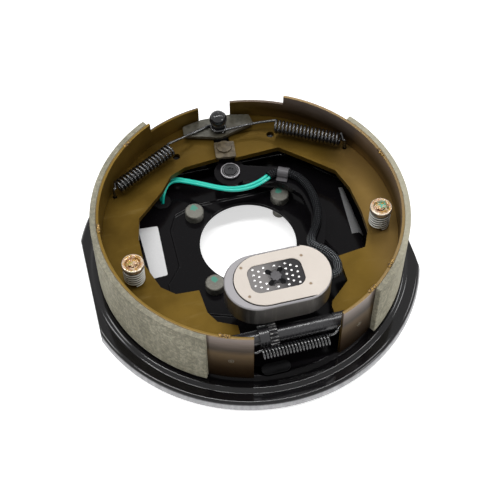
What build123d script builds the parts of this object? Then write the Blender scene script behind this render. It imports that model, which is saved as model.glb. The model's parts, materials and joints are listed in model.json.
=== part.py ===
from build123d import *
from math import acos, atan2, cos, hypot, pi, radians, sin, tan
import os

os.makedirs("parts", exist_ok=True)

# Electric trailer brake for a 254 mm drum, seen from the drum's side.
# The origin is the middle of the plane that the plate's rim rests on.
# +Z points towards the drum and +Y towards the anchor post. Millimetres.

# Backing plate
plate_radius = 141.0
plate_half_width = 132.0
sheet = 3.0
rim_height = 8.5
rim_bend = 4.0
flange_width = 11.0
middle_rise = 2.0
flange_step_width = 9.5
ring_rise = 1.8
step_run = 2.2
ledge_height = 0.3
ledge_width = 7.0
ledge_angle = 13.0
plateau_rise = 9.5
plateau_half_x = 90.0
plateau_half_y = 84.0
plateau_chamfer = 40.0
plateau_slope = 6.0
pad_drop = 1.0
pad_wall = 1.5
pad_outline = [
    (-36, 47.5), (38, 47.5), (55, 39), (58.5, 22), (58.5, -12), (66, -26), (64, -40), (46, -58), (30, -64),
    (-30, -64), (-50, -57), (-72, -34), (-71, -24), (-59, -9), (-58.5, 28), (-52, 41),
]

# Hub: spindle hole and the four studs on a square
hub_y = 1.5
spindle_radius = 39.4
stud_spacing = 73.03
stud_radius = 5.56
stud_shank_radius = 6.1
stud_head_radius = 7.75
stud_head_height = 7.9
stud_head_edge = 0.8
stud_end_z = 0.6

# Shoes
shoe_gap = 0.25
lining_width = 57.15
lining_radius = 125.0
lining_thickness = 4.6
table_thickness = 2.4
web_thickness = 4.8
bond_gap = 0.05
toe_cut = 9.0
primary_centre = (1.5, 0.5)
primary_lining_start_angle = -54.1
primary_lining_end_angle = 34.2
primary_table_start_angle = -70.0
primary_table_end_angle = 84.0
primary_toe_angle = 22.0
secondary_centre = (1.0, 0.0)
secondary_lining_start_angle = 120.4
secondary_lining_end_angle = 240.3
secondary_table_start_angle = 97.0
secondary_table_end_angle = 256.9
secondary_toe_angle = 22.5

# Anchor post
anchor_y = 102.5
anchor_base_radius = 12.0
anchor_radius = 9.5
anchor_neck_radius = 4.6
anchor_neck_length = 5.2
anchor_ball_radius = 6.3
anchor_rivet_radius = 6.0
anchor_plate_lift = 2.0
anchor_plate_thickness = 3.0
anchor_plate_half_length = 30.0

# Actuating lever
pivot_x = 0.3
pivot_y = 62.2
pin_reach = 20.8
pivot_radius = 5.5
pivot_base_radius = 9.0
pivot_ring_width = 2.5
pivot_ring_thickness = 1.6
pivot_ring_lift = 0.9
pivot_end_lift = 3.6
bushing_wall = 1.6
lever_z = 33.0
lever_thickness = 5.5
lever_head_width = 16.0
lever_width = 12.0
lever_eye_radius = 13.5
lever_pin_radius = 6.2
lever_pin_rivet_radius = 4.7
lever_head_points = ((22, 55), (44, 48))
lever_arm_points = ((39, 50), (57, 27), (59.5, 2), (51, -22), (32, -47))
lever_strap_pad = (43, 47.5)
lever_strap_pad_radius = 8.5
link_thickness = 2.5
lever_neck_width = 16.0
link_size = 17.0
link_corner = 1.5
link_shift = -2.3
link_turn = -7.0
link_gap = 0.5

# Magnet
magnet_x = 4.0
magnet_y = -71.0
magnet_length = 82.0
magnet_width = 50.0
magnet_height = 20.5
magnet_bottom_z = 53.0
magnet_wall = 2.5
magnet_core_length = 34.0
magnet_core_width = 20.0
magnet_edge = 1.0
magnet_post_radius = 7.0
magnet_post_height = 27.0
face_length = 74.6
face_width = 46.5
face_thickness = 2.6
face_offset = 3.4
insert_length = 45.0
insert_width = 25.0
insert_corner = 8.0
insert_thickness = 1.6
insert_recess = 0.5
insert_shift = (-1.0, 1.3)
clip_radius = 5.2
clip_leg_length = 8.5
clip_leg_width = 3.2

# Adjuster
adjuster_y = -100.0
secondary_web_end_x = -31.0
primary_web_end_x = 42.4
fork_depth = 7.5
fork_gap = 0.3
socket_radius = 6.0
collar_radius = 8.6
collar_width = 7.5
star_x = -10.7
star_width = 6.2
star_radius = 9.6
star_root_radius = 8.0
star_teeth = 20
screw_radius = 4.0
screw_length = 32.0
screw_pin_radius = 3.5
screw_pin_length = 12.5
nut_radius = 6.4
side_gap = 0.3

# Hold-downs
primary_hold_down = (101.5, -22.5)
secondary_hold_down = (-97.8, -26.5)
hold_down_pin_radius = 2.4
hold_down_head_radius = 5.0
hold_down_head_height = 1.8
hold_down_hole_radius = 5.0
hold_down_height = 22.0
cup_radius = 8.75
cup_height = 4.0
cup_wall = 1.0
hold_down_wire = 1.1
hold_down_turns = 5.0

# Return springs, adjuster spring and magnet spring
return_coil_radius = 5.8
return_wire = 0.9
primary_coil_turns = 18
secondary_coil_turns = 17
primary_coil_ends = ((46.5, 89.6), (94.7, 61.7))
secondary_coil_ends = ((-43.5, 87.0), (-94.0, 58.5))
primary_bend = (29.6, 98.4)
secondary_bend = (-24.0, 101.5)
return_coil_lift = 3.2
return_hole_radius = 1.8
tool_hole_radius = 3.2
primary_tool_hole = (42.0, 89.5)
secondary_tool_hole = (-40.5, 85.5)
adjuster_coil_radius = 4.4
adjuster_wire = 0.75
adjuster_coil_y = -114.4
adjuster_coil_ends = (-19.0, 33.4)
adjuster_coil_turns = 21
secondary_adjuster_hole = (-36.5, -106.5)
primary_adjuster_hole = (54.5, -102.0)
magnet_spring_radius = 10.5
magnet_spring_wire = 1.0
magnet_spring_turns = 3.0
hook_offset = 4.5

# Leads
wire_radius = 1.5
wire_spacing = 3.3
grommet_place = (-60.0, 58.0)
grommet_radius = 5.5
grommet_flange = 7.6
grommet_flange_height = 1.8
sleeve_radius = 3.2
strap_thickness = 1.2
strap_width = 9.0
strap_foot = 3.0
strap_place = (42.0, 48.3)
strap_turn = -27.0
strap_run = 9.5
slot_length = 22.0
slot_width = 8.6
slot_y = -112.5
plug_flange = 1.2

# Clearances
seat_gap = 0.3
running_gap = 0.05

# Levels worked out from the sizes above
flange_inner_radius = plate_radius - flange_width
ring_outer_radius = flange_inner_radius - flange_step_width
flange_z = rim_height
middle_z = flange_z + middle_rise
ring_z = middle_z + ring_rise
plateau_z = ring_z + plateau_rise
pad_z = plateau_z - pad_drop
shoe_z = ring_z + ledge_height + shoe_gap
shoe_top_z = shoe_z + lining_width
web_z = shoe_z + (lining_width - web_thickness) / 2
web_top_z = web_z + web_thickness
table_outer_radius = lining_radius - lining_thickness - bond_gap
table_inner_radius = table_outer_radius - table_thickness
web_radius = table_inner_radius - bond_gap
adjuster_z = web_z + web_thickness / 2
lever_top_z = lever_z + lever_thickness
link_z = web_top_z + link_gap
anchor_plate_z = web_top_z + anchor_plate_lift
neck_z = anchor_plate_z + anchor_plate_thickness
coil_z = web_top_z + return_coil_lift + return_coil_radius
secondary_hook_z = neck_z + 0.2 + return_wire
primary_hook_z = secondary_hook_z + 2 * return_wire + 0.15
magnet_top_z = magnet_bottom_z + magnet_height
magnet_rim_z = magnet_top_z - face_thickness

# Places worked out from the sizes above
pin_y = pivot_y + pin_reach
pivot_place = (pivot_x, pivot_y)
pin_place = (pivot_x, pin_y)
anchor_place = (0.0, anchor_y)
magnet_place = (magnet_x, magnet_y)
star_end_x = star_x + star_width
socket_end_x = star_x - side_gap
nut_start_x = star_end_x + side_gap
slot_place = (star_x + star_width / 2, slot_y)
half_square = stud_spacing / 2
stud_places = [(sx * half_square, hub_y + sy * half_square) for sx in (-1, 1) for sy in (-1, 1)]
ledge_angles = [18, 52, -30, 128, 160, 212]

# Routes of the spring hooks and of the leads
spring_lift = web_top_z + adjuster_wire + 0.3
secondary_adjuster_hook = [
    (adjuster_coil_ends[0] + 1, adjuster_coil_y, adjuster_z), (-24, adjuster_coil_y + 0.9, adjuster_z + 1.4),
    (-30.5, -109.8, spring_lift), (secondary_adjuster_hole[0], secondary_adjuster_hole[1], spring_lift + 0.6),
    (secondary_adjuster_hole[0], secondary_adjuster_hole[1], web_z + 0.5),
]
primary_adjuster_hook = [
    (adjuster_coil_ends[1] - 1, adjuster_coil_y, adjuster_z), (37.0, -112.2, spring_lift - 1.2),
    (44.5, -106.6, spring_lift + 1.8), (primary_adjuster_hole[0], primary_adjuster_hole[1], spring_lift + 3.4),
    (primary_adjuster_hole[0], primary_adjuster_hole[1], web_z + 0.5),
]

wire_on_lever_z = lever_top_z + wire_radius + 0.3
sleeve_z = lever_top_z + sleeve_radius + 0.1
strap_lead = (strap_run * cos(radians(strap_turn)), strap_run * sin(radians(strap_turn)))
lead_route = [
    (grommet_place[0], grommet_place[1], plateau_z - sheet - grommet_flange_height),
    (grommet_place[0], grommet_place[1], 31.0),
    (-50.0, 72.5, 33.5), (-30.0, 60.5, 36.0), (-6.5, 42.0, wire_on_lever_z + 1.1),
    (11.0, 42.8, wire_on_lever_z + 0.9), (21.8, 50.0, sleeve_z),
]
sleeve_route = [
    (22.5, 50.4, sleeve_z),
    (strap_place[0] - strap_lead[0], strap_place[1] - strap_lead[1], sleeve_z),
    (strap_place[0] + strap_lead[0], strap_place[1] + strap_lead[1], sleeve_z),
    (55.6, 36.0, sleeve_z), (58.6, 26.5, sleeve_z), (59.6, 15.0, sleeve_z), (58.5, 2.5, sleeve_z),
    (55.0, -9.0, sleeve_z), (49.5, -18.0, sleeve_z + 0.2), (46.0, -25.0, 43.3), (47.5, -31.5, 44.6),
    (53.5, -39.5, 46.4), (56.5, -50.5, 48.5), (55.0, -61.0, 52.5), (50.0, -69.5, 57.5), (41.0, -71.0, 59.4),
]


def disc(radius, low, high, at=(0, 0)):
    """Upright cylinder from one level to another."""
    return Pos(at[0], at[1], low) * Cylinder(radius, high - low, align=(Align.CENTER, Align.CENTER, Align.MIN))


def upright(face, low, high, at=(0, 0)):
    """A flat shape in the XY plane raised between two levels."""
    return Pos(at[0], at[1], low) * extrude(face, amount=high - low, dir=(0, 0, 1))


def polygon(points, radius=0.0):
    """A closed flat outline, with its corners rounded by one radius."""
    face = make_face(Polyline(*points, close=True))
    return fillet(face.vertices(), radius) if radius else face


def turned(profile, at=(0, 0)):
    """A profile of radius and height points revolved about an upright axis."""
    face = Plane.XZ * make_face(Polyline(*profile, close=True))
    return Pos(at[0], at[1], 0) * revolve(face, Axis.Z)


def sector(inner, outer, start, end):
    """Flat piece of a ring between two angles."""
    outside = CenterArc((0, 0), outer, start, end - start)
    inside = CenterArc((0, 0), inner, start, end - start)
    first = Line(outside @ 0, inside @ 0)
    last = Line(outside @ 1, inside @ 1)
    return make_face([outside.edge(), inside.edge(), first.edge(), last.edge()])


def lying(radius, start, end):
    """A cylinder along X on the adjuster's axis."""
    bar = Cylinder(radius, end - start, align=(Align.CENTER, Align.CENTER, Align.MIN))
    return Pos(start, adjuster_y, adjuster_z) * Rot(0, 90, 0) * bar


def bend_radii(points):
    """The largest bend at each corner that its two runs allow."""
    vectors = [Vector(*point) for point in points]
    radii = []
    for before, corner, after in zip(vectors, vectors[1:], vectors[2:]):
        run = min((corner - before).length, (after - corner).length)
        turn = radians((corner - before).get_angle(after - corner))
        radii.append(0.45 * run / tan(turn / 2))
    return radii


def tube(points, radius):
    """A round wire along straight runs joined by tangent arcs."""
    path = FilletPolyline(*points, radius=bend_radii(points))
    section = Plane(origin=path @ 0, z_dir=path % 0) * Circle(radius)
    return sweep(section, path=path)


def coil(radius, wire, turns, height, sides=6):
    """A helical spring on the Z axis, standing on the XY plane."""
    path = Pos(0, 0, wire) * Helix(pitch=(height - 2 * wire) / turns, height=height - 2 * wire, radius=radius)
    section = Plane(origin=path @ 0, z_dir=path % 0) * RegularPolygon(wire, sides)
    return sweep(section, path=path, is_frenet=True)


def closed_coil(start, end, radius, wire, turns):
    """A long spring's outer form: a rod with a rounded ridge for each turn."""
    length = (Vector(*end) - Vector(*start)).length
    pitch = length / turns
    core = radius - 1.6 * wire
    points = [(0, 0), (core, 0)]
    for turn in range(turns):
        base = turn * pitch
        points += [(radius, base + pitch * 0.3), (radius, base + pitch * 0.7), (core, base + pitch)]
    points.append((0, length))
    body = revolve(Plane.XZ * make_face(Polyline(*points, close=True)), Axis.Z)
    return Plane(origin=start, z_dir=Vector(*end) - Vector(*start)) * body


def octagon(half_x, half_y, chamfer):
    """Rectangle with its four corners cut at 45 degrees."""
    near_x = half_x - chamfer
    near_y = half_y - chamfer
    return polygon([
        (half_x, -near_y), (half_x, near_y), (near_x, half_y), (-near_x, half_y),
        (-half_x, near_y), (-half_x, -near_y), (-near_x, -half_y), (near_x, -half_y),
    ])


def plate_form(inset):
    """The plate's outer form or, with an inset of one sheet, its inner form."""
    low = -1.0 if inset else 0.0
    radius = plate_radius - inset
    bend = rim_bend - inset / 2
    form = turned([
        (0, low),
        (radius, low),
        (radius, flange_z - inset - bend),
        (radius - 0.3 * bend, flange_z - inset - 0.3 * bend),
        (radius - bend, flange_z - inset),
        (flange_inner_radius, flange_z - inset),
        (flange_inner_radius - step_run, middle_z - inset),
        (ring_outer_radius, middle_z - inset),
        (ring_outer_radius - step_run, ring_z - inset),
        (0, ring_z - inset),
    ])
    wall_inset = inset * 0.6
    foot_x = plateau_half_x + plateau_slope - wall_inset
    foot_y = plateau_half_y + plateau_slope - wall_inset
    foot = Plane.XY.offset(ring_z - inset) * octagon(foot_x, foot_y, plateau_chamfer)
    top_x = plateau_half_x - wall_inset
    top_y = plateau_half_y - wall_inset
    top = Plane.XY.offset(plateau_z - inset) * octagon(top_x, top_y, plateau_chamfer)
    return form + loft([foot, top])


def backing_plate():
    plate = plate_form(0) - plate_form(sheet)
    plate = plate & Box(2 * plate_half_width, 3 * plate_radius, 4 * plateau_z)
    plate -= Pos(0, 0, pad_z) * extrude(polygon(pad_outline, 3), amount=2 * pad_drop, taper=-45)
    plate += Pos(0, 0, pad_z - sheet) * extrude(offset(polygon(pad_outline, 3), pad_wall), amount=sheet)
    ledge_outer = ring_outer_radius - step_run
    ledge = sector(ledge_outer - ledge_width, ledge_outer, -ledge_angle / 2, ledge_angle / 2)
    for angle in ledge_angles:
        plate += Rot(0, 0, angle) * upright(ledge, ring_z - 1, ring_z + ledge_height)
    holes = [(spindle_radius, (0, hub_y)), (anchor_rivet_radius + running_gap, anchor_place)]
    holes += [(stud_shank_radius + running_gap, place) for place in stud_places]
    holes += [(pivot_radius + running_gap, pivot_place), (grommet_radius, grommet_place)]
    holes += [(hold_down_pin_radius + seat_gap, place) for place in (primary_hold_down, secondary_hold_down)]
    for radius, place in holes:
        plate -= disc(radius, 0, plateau_z + 1, place)
    return plate - upright(SlotOverall(slot_length, slot_width), 0, plateau_z, slot_place)


def mounting_studs():
    head_top = pad_z + stud_head_height
    profile = [
        (0, stud_end_z),
        (stud_radius - 1, stud_end_z),
        (stud_radius, stud_end_z + 1),
        (stud_radius, pad_z - sheet),
        (stud_shank_radius, pad_z - sheet),
        (stud_shank_radius, pad_z),
        (stud_head_radius, pad_z),
        (stud_head_radius, head_top - stud_head_edge),
        (stud_head_radius - stud_head_edge, head_top),
        (0, head_top),
    ]
    return Compound(children=[turned(profile, place) for place in stud_places])


def anchor_post():
    ball_z = neck_z + anchor_neck_length + anchor_ball_radius * 0.7
    rivet_z = ring_z - sheet
    post = disc(anchor_base_radius, ring_z, lever_z - 1, anchor_place)
    post += disc(anchor_radius, lever_z - 1, anchor_plate_z, anchor_place)
    post += disc(anchor_neck_radius, anchor_plate_z, ball_z, anchor_place)
    post += Pos(0, anchor_y, ball_z) * Sphere(anchor_ball_radius)
    post += disc(anchor_rivet_radius, rivet_z, ring_z, anchor_place)
    return post + disc(anchor_rivet_radius + 2, rivet_z - 2.5, rivet_z, anchor_place)


def anchor_plate():
    reach = anchor_plate_half_length
    face = polygon([
        (reach, anchor_y - 1), (reach - 1, anchor_y + 9.5), (12, anchor_y + 13.5), (-12, anchor_y + 13.5),
        (1 - reach, anchor_y + 9.5), (-reach, anchor_y - 0.5), (-11, anchor_y - 6.5), (0, anchor_y - 10), (10, anchor_y - 7),
    ], 1.8)
    body = upright(face, anchor_plate_z, neck_z)
    return body - disc(anchor_neck_radius + 0.15, anchor_plate_z - 1, neck_z + 1, anchor_place)


def web(outline, centre, holes):
    """A shoe's web: the part of its disc that lies inside the outline, with its holes."""
    face = (Pos(*centre) * Circle(web_radius)) & outline
    face -= Pos(*anchor_place) * Circle(anchor_radius + seat_gap)
    for radius, place in holes:
        face -= Pos(*place) * Circle(radius)
    return upright(face, web_z, web_top_z)


def primary_web():
    flat_x = pivot_x + lever_pin_radius + seat_gap
    outline = polygon([
        (flat_x, 140), (flat_x, 72),
        (45, 74), (64, 57), (84, 38), (90, 18), (92, -8), (91, -27), (84, -42), (61, -45),
        (61, -69), (44, -84), (primary_web_end_x, -88), (primary_web_end_x, -140), (140, -140), (140, 140),
    ])
    holes = [
        (hold_down_hole_radius, primary_hold_down), (tool_hole_radius, primary_tool_hole),
        (return_hole_radius, hook_place(primary_coil_ends)), (adjuster_wire + 0.5, primary_adjuster_hole),
    ]
    return web(outline, primary_centre, holes)


def secondary_web():
    flat_x = pivot_x - lever_pin_radius - seat_gap
    outline = polygon([
        (flat_x, 140), (flat_x, 75.5),
        (-36, 72.5), (-49, 66.5), (-60.5, 51.5), (-83, 30), (-87.5, 10), (-88, -15), (-80, -39), (-70, -48),
        (-52, -49), (-50.5, -70), (-45, -80), (secondary_web_end_x, -87), (secondary_web_end_x, -140),
        (-140, -140), (-140, 140),
    ])
    holes = [
        (hold_down_hole_radius, secondary_hold_down), (tool_hole_radius, secondary_tool_hole),
        (return_hole_radius, hook_place(secondary_coil_ends)), (adjuster_wire + 0.5, secondary_adjuster_hole),
    ]
    return web(outline, secondary_centre, holes)


def table(start, end, toe_start, toe_end, centre):
    """A shoe's rolled table, narrower over its toe at the anchor."""
    body = upright(sector(table_inner_radius, table_outer_radius, start, end), shoe_z, shoe_top_z, centre)
    toe = sector(table_inner_radius - 2, table_outer_radius + 2, toe_start, toe_end)
    body -= upright(toe, shoe_top_z - toe_cut, shoe_top_z + 1, centre)
    return body - upright(toe, shoe_z - 1, shoe_z + toe_cut, centre)


def primary_table():
    end = primary_table_end_angle
    return table(primary_table_start_angle, end, end - primary_toe_angle, end + 1, primary_centre)


def secondary_table():
    start = secondary_table_start_angle
    return table(start, secondary_table_end_angle, start - 1, start + secondary_toe_angle, secondary_centre)


def lining(start, end, centre):
    return upright(sector(table_outer_radius + bond_gap, lining_radius, start, end), shoe_z, shoe_top_z, centre)


def lever_pivot_pin():
    top = lever_top_z + pivot_end_lift
    rivet_z = plateau_z - sheet
    pin = disc(pivot_base_radius, plateau_z, lever_z - seat_gap, pivot_place)
    pin += disc(pivot_radius, rivet_z, top, pivot_place)
    pin += disc(pivot_radius + 2, rivet_z - 2, rivet_z, pivot_place)
    return pin - disc(2.2, top - 1.2, top + 1, pivot_place)


def lever_retaining_ring():
    low = lever_top_z + pivot_ring_lift
    high = low + pivot_ring_thickness
    outer = disc(pivot_radius + pivot_ring_width, low, high, pivot_place)
    return outer - disc(pivot_radius + 0.02, low - 1, high + 1, pivot_place)


def lever_arm():
    head_path = FilletPolyline(pivot_place, *lever_head_points, radius=20)
    arm_path = FilletPolyline(*lever_arm_points, magnet_place, radius=14)
    face = trace(head_path, lever_head_width) + trace(arm_path, lever_width)
    face += Pos(*pivot_place) * Circle(lever_eye_radius) + Pos(*pin_place) * Circle(lever_pin_radius + 0.8)
    face += Pos(pivot_x, pivot_y + pin_reach * 0.4) * Rectangle(lever_neck_width, pin_reach * 0.8)
    face += Pos(*magnet_place) * Circle(magnet_spring_radius + 2)
    face += Pos(*lever_strap_pad) * Circle(lever_strap_pad_radius)
    face -= Pos(*pivot_place) * Circle(pivot_radius + bushing_wall + 0.02)
    face -= Pos(*magnet_place) * Circle(magnet_post_radius - 2)
    return upright(face, lever_z, lever_top_z)


def lever_bushing():
    outer = disc(pivot_radius + bushing_wall, lever_z, lever_top_z, pivot_place)
    return outer - disc(pivot_radius + running_gap, lever_z - 1, lever_top_z + 1, pivot_place)


def lever_link():
    face = RectangleRounded(link_size, link_size, link_corner)
    face = Pos(pivot_x, pin_y + link_shift) * Rot(0, 0, link_turn) * face
    face -= Pos(*pin_place) * Circle(lever_pin_rivet_radius + 0.02)
    return upright(face, link_z, link_z + link_thickness)


def lever_pin():
    head_z = link_z + link_thickness
    pin = disc(lever_pin_radius, lever_top_z, link_z, pin_place)
    pin += disc(lever_pin_rivet_radius, link_z, head_z, pin_place)
    return pin + disc(lever_pin_radius, head_z, head_z + 1.4, pin_place)


def wire_strap():
    """Bent strap that holds the sleeve on the lever."""
    hole = sleeve_radius + 0.1
    outer = hole + strap_thickness
    foot = outer + strap_foot
    section = Circle(outer) - Pos(0, -outer) * Rectangle(4 * outer, 2 * outer)
    section += Pos(0, -(sleeve_radius - strap_thickness) / 2 - strap_thickness / 2) * Rectangle(2 * outer, sleeve_radius)
    section += Pos(0, strap_thickness / 2 - sleeve_radius) * Rectangle(2 * foot, strap_thickness)
    section -= Circle(hole)
    section -= Pos(0, -hole) * Rectangle(2 * hole, 2 * hole)
    body = extrude(section, amount=strap_width / 2, both=True)
    body = Rot(0, 0, strap_turn + 90) * Rot(90, 0, 0) * body
    return Pos(strap_place[0], strap_place[1], lever_top_z + sleeve_radius) * body


def magnet_post():
    base = lever_top_z
    post = disc(magnet_post_radius + 2, base, base + 1.5, magnet_place)
    post += disc(magnet_post_radius, base, base + magnet_post_height, magnet_place)
    post += disc(magnet_post_radius - 2.05, lever_z, base, magnet_place)
    return post + disc(magnet_post_radius, lever_z - 1.5, lever_z, magnet_place)


def magnet_spring():
    low = lever_top_z + 0.2
    spring = coil(magnet_spring_radius, magnet_spring_wire, magnet_spring_turns, magnet_bottom_z - low - 0.2)
    return Pos(magnet_x, magnet_y, low) * spring


def at_magnet(face, low, high, shift=(0, 0)):
    return upright(face, low, high, (magnet_x + shift[0], magnet_y + shift[1]))


def magnet_housing():
    body = at_magnet(SlotOverall(magnet_length, magnet_width), magnet_bottom_z, magnet_top_z - 0.6)
    body = chamfer(body.faces().sort_by(Axis.Z)[-1].edges(), magnet_edge)
    hollow = SlotOverall(magnet_length - 2 * magnet_wall, magnet_width - 2 * magnet_wall)
    hollow -= SlotOverall(magnet_core_length, magnet_core_width)
    body -= at_magnet(hollow, magnet_bottom_z + magnet_wall, magnet_rim_z - magnet_wall)
    pocket = SlotOverall(face_length + 0.1, face_width + 0.1)
    body -= at_magnet(pocket, magnet_rim_z, magnet_top_z + 1, (face_offset, 0))
    body -= disc(magnet_post_radius + seat_gap, 0, magnet_top_z + 1, magnet_place)
    return body - lead_hole()


def lead_hole():
    """Hole in the housing's side for the sleeve."""
    end = Vector(*sleeve_route[-1])
    return Plane(origin=end, z_dir=end - Vector(*sleeve_route[-2])) * Cylinder(sleeve_radius + 0.1, 14)


def magnet_coil():
    outer = SlotOverall(magnet_length - 2 * magnet_wall - 8, magnet_width - 2 * magnet_wall - 1)
    winding = outer - SlotOverall(magnet_core_length + 1, magnet_core_width + 1)
    return at_magnet(winding, magnet_bottom_z + magnet_wall + 0.1, magnet_rim_z - magnet_wall - 0.5)


def insert_outline(growth=0.0):
    return RectangleRounded(insert_length + 2 * growth, insert_width + 2 * growth, insert_corner + growth)


def magnet_face():
    pad = at_magnet(SlotOverall(face_length, face_width), magnet_rim_z, magnet_top_z, (face_offset, 0))
    return pad - at_magnet(insert_outline(0.1), magnet_rim_z - 1, magnet_top_z + 1, insert_shift)


def magnet_insert():
    top = magnet_top_z - insert_recess
    plate = at_magnet(insert_outline(), top - insert_thickness, top, insert_shift)
    plate += at_magnet(insert_outline(-3), magnet_rim_z, top - insert_thickness, insert_shift)
    return plate - disc(magnet_post_radius, 0, magnet_top_z + 1, magnet_place)


def magnet_clip():
    """Spring clip with four legs that bears on the insert round the post's hole."""
    face = Circle(clip_radius)
    for turn in (45, 135, 225, 315):
        face += Rot(0, 0, turn) * (Pos(clip_leg_length / 2, 0) * Rectangle(clip_leg_length, clip_leg_width))
    low = magnet_top_z - insert_recess
    return at_magnet(face, low, low + 0.5)


def adjuster_socket():
    start = secondary_web_end_x - fork_depth
    body = lying(socket_radius, start, socket_end_x - collar_width) + lying(collar_radius, socket_end_x - collar_width, socket_end_x)
    body -= lying(screw_pin_radius + running_gap, socket_end_x - screw_pin_length - seat_gap, socket_end_x + 1)
    slot = Box(fork_depth + fork_gap, 4 * socket_radius, web_thickness + 2 * fork_gap, align=(Align.MIN, Align.CENTER, Align.CENTER))
    return body - Pos(start, adjuster_y, adjuster_z) * slot


def star_screw():
    step = 360 / star_teeth
    points = []
    for tooth in range(star_teeth):
        for radius, turn in ((star_root_radius, 0.0), (star_radius, 0.3), (star_radius, 0.55), (star_root_radius, 0.85)):
            angle = radians((tooth + turn) * step)
            points.append((radius * cos(angle), radius * sin(angle)))
    wheel = extrude(polygon(points), amount=star_width)
    body = Pos(star_x, adjuster_y, adjuster_z) * Rot(0, 90, 0) * wheel
    body += lying(screw_pin_radius, socket_end_x - screw_pin_length, star_x)
    return body + lying(screw_radius, star_end_x, star_end_x + screw_length)


def adjuster_nut():
    end = primary_web_end_x + fork_depth
    body = lying(nut_radius, nut_start_x, end)
    body -= lying(screw_radius + running_gap, nut_start_x - 1, star_end_x + screw_length + 1)
    groove = lying(nut_radius + 1, primary_web_end_x - 3.5, primary_web_end_x - 2.5) - lying(nut_radius - 0.6, 0, end)
    slot = Box(fork_depth + fork_gap, 4 * nut_radius, web_thickness + 2 * fork_gap, align=(Align.MAX, Align.CENTER, Align.CENTER))
    return body - groove - Pos(end, adjuster_y, adjuster_z) * slot


def adjuster_spring():
    left, right = adjuster_coil_ends
    body = closed_coil((left, adjuster_coil_y, adjuster_z), (right, adjuster_coil_y, adjuster_z),
                       adjuster_coil_radius, adjuster_wire, adjuster_coil_turns)
    body += tube(secondary_adjuster_hook, adjuster_wire)
    return body + tube(primary_adjuster_hook, adjuster_wire)


def unit(ends):
    """Direction from a return spring's inner end to its outer end."""
    (x0, y0), (x1, y1) = ends
    length = hypot(x1 - x0, y1 - y0)
    return (x1 - x0) / length, (y1 - y0) / length


def hook_place(ends):
    """Where a return spring's outer hook goes through its web."""
    dx, dy = unit(ends)
    return ends[1][0] + dx * hook_offset, ends[1][1] + dy * hook_offset


def return_spring(ends, turns, hook_z, bend_place):
    """Return spring from a web hole to a hook round the anchor's neck, past one bend."""
    (x0, y0), (x1, y1) = ends
    dx, dy = unit(ends)
    body = closed_coil((x0, y0, coil_z), (x1, y1, coil_z), return_coil_radius, return_wire, turns)
    hook_x, hook_y = hook_place(ends)
    body += tube([(x1 - dx, y1 - dy, coil_z), (hook_x, hook_y, coil_z), (hook_x, hook_y, web_z + 0.5)], return_wire)
    rim = 0.7 * (return_coil_radius - return_wire)
    side = 1 if dx > 0 else -1
    start = (x0 - side * dy * rim + dx, y0 + side * dx * rim + dy, coil_z + rim)
    loop = anchor_neck_radius + return_wire + seat_gap
    away = (bend_place[0], bend_place[1] - anchor_y)
    touch = atan2(away[1], away[0]) - acos(loop / hypot(*away))
    reach = loop / cos(radians(22.5))
    hook = [start, (*bend_place, hook_z)]
    for step in range(4):
        angle = touch - radians(22.5 + 45 * step)
        hook.append((reach * cos(angle), anchor_y + reach * sin(angle), hook_z))
    hook.append((loop * cos(touch - pi), anchor_y + loop * sin(touch - pi), hook_z))
    return body + tube(hook, return_wire)


def hold_down_pin(place):
    base = ring_z - sheet
    top = web_top_z + hold_down_height - 1.5
    pin = disc(hold_down_head_radius, base - hold_down_head_height, base, place)
    pin += disc(hold_down_pin_radius, base, top, place)
    return pin + Pos(place[0], place[1], top + 0.6) * Box(7.5, 2.6, 1.2)


def hold_down_cup(place):
    top = web_top_z + hold_down_height
    floor = top - cup_height * 0.6
    hole = hold_down_pin_radius + seat_gap
    return turned([
        (hole, floor - cup_wall), (hole, floor), (cup_radius * 0.55, floor), (cup_radius - 2.4, top),
        (cup_radius - 0.7, top), (cup_radius, top - 0.7), (cup_radius, top - cup_height),
        (cup_radius - cup_wall, top - cup_height), (cup_radius - cup_wall, top - cup_wall - 0.7),
        (cup_radius - 2.2, top - cup_wall), (cup_radius * 0.55 + 0.5, floor - cup_wall),
    ], place)


def hold_down_spring(place):
    low = web_top_z + seat_gap
    high = web_top_z + hold_down_height - cup_height * 0.6 - cup_wall - 0.2
    radius = cup_radius - cup_wall - hold_down_wire - 0.3
    return Pos(place[0], place[1], low) * coil(radius, hold_down_wire, hold_down_turns, high - low)


def lead_wires():
    """The two leads, side by side, from the grommet to the sleeve on the lever."""
    leads = []
    for side in (-0.5, 0.5):
        shift = side * wire_spacing
        leads.append(tube([(x - shift * 0.3, y + shift, z) for x, y, z in lead_route], wire_radius))
    return Compound(children=leads)


def wire_grommet():
    under = plateau_z - sheet
    x, y = grommet_place
    body = disc(grommet_flange, plateau_z, plateau_z + grommet_flange_height, grommet_place)
    body += disc(grommet_radius, under, plateau_z, grommet_place)
    body += disc(grommet_flange, under - grommet_flange_height, under, grommet_place)
    for side in (-0.5, 0.5):
        shift = side * wire_spacing
        body -= disc(wire_radius + 0.05, 0, plateau_z + 9, (x - shift * 0.3, y + shift))
    return body


def adjuster_slot_plug():
    under = ring_z - sheet
    body = upright(SlotOverall(slot_length, slot_width), under, ring_z, slot_place)
    flange = SlotOverall(slot_length + 1, slot_width + 1)
    body += upright(flange, ring_z, ring_z + plug_flange, slot_place)
    return body + upright(flange, under - plug_flange, under, slot_place)


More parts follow.
